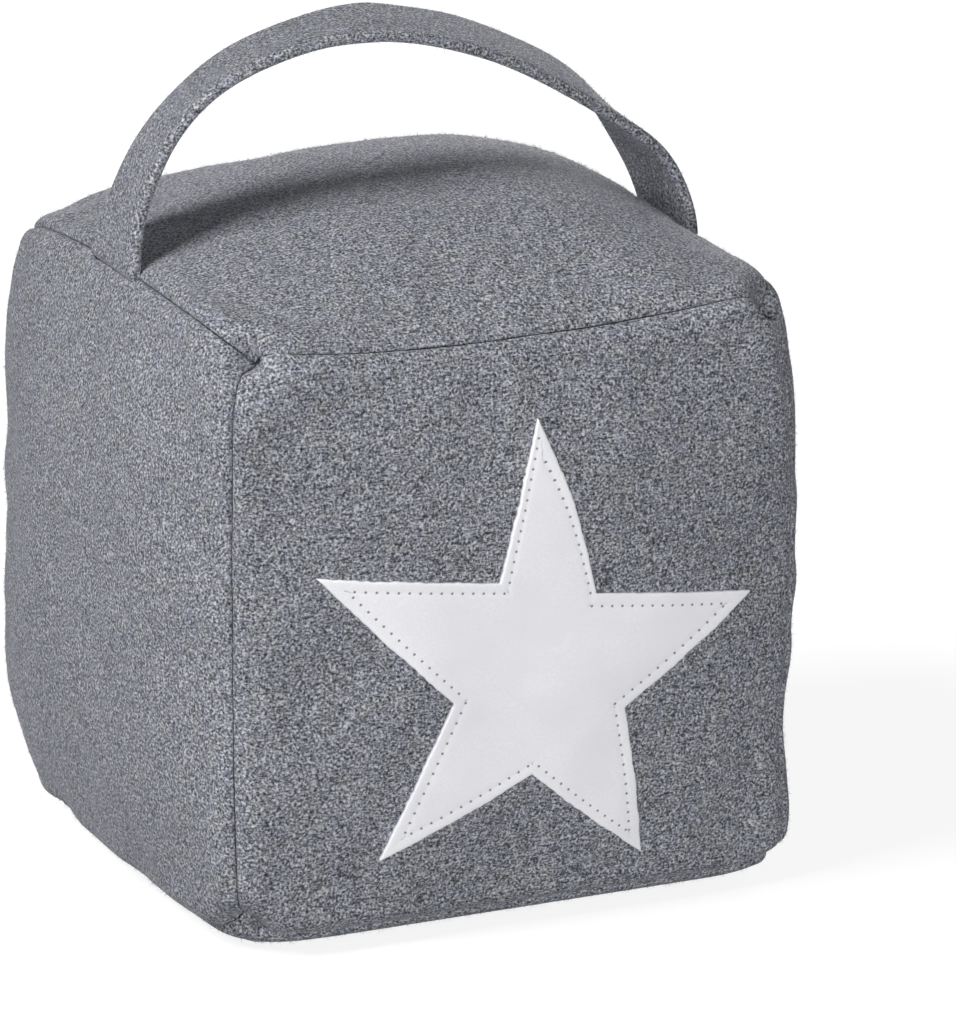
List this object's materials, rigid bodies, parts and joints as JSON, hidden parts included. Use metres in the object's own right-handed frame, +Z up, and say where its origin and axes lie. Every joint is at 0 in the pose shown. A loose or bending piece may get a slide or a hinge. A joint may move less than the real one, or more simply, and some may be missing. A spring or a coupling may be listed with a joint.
{
  "type": "weighted fabric door stop",
  "caption": "Felt cube door stop sewn from six panels, filled with a sand bag and wadding, with a felt carrying strap over the top and a white felt star on the front.",
  "frame": {"origin": "on the floor under the middle of the cube, in the plane of the base panel's flat face", "axes": "+Z up, -Y out of the front panel with the star, +X to the right as seen from the front, along the strap"},
  "size_m": [0.1703, 0.1582, 0.2131],
  "materials": {
    "grey_felt": "matte",
    "white_felt": "matte",
    "wadding": "matte",
    "sand_in_bag": "satin"
  },
  "bodies": {
    "root": {"panel_front": "grey_felt", "panel_back": "grey_felt", "panel_left": "grey_felt", "panel_right": "grey_felt", "panel_top": "grey_felt", "panel_base": "grey_felt", "handle_strap": "grey_felt", "star_applique": "white_felt", "sand_bag": "sand_in_bag", "wadding": "wadding"}
  },
  "joints": []
}
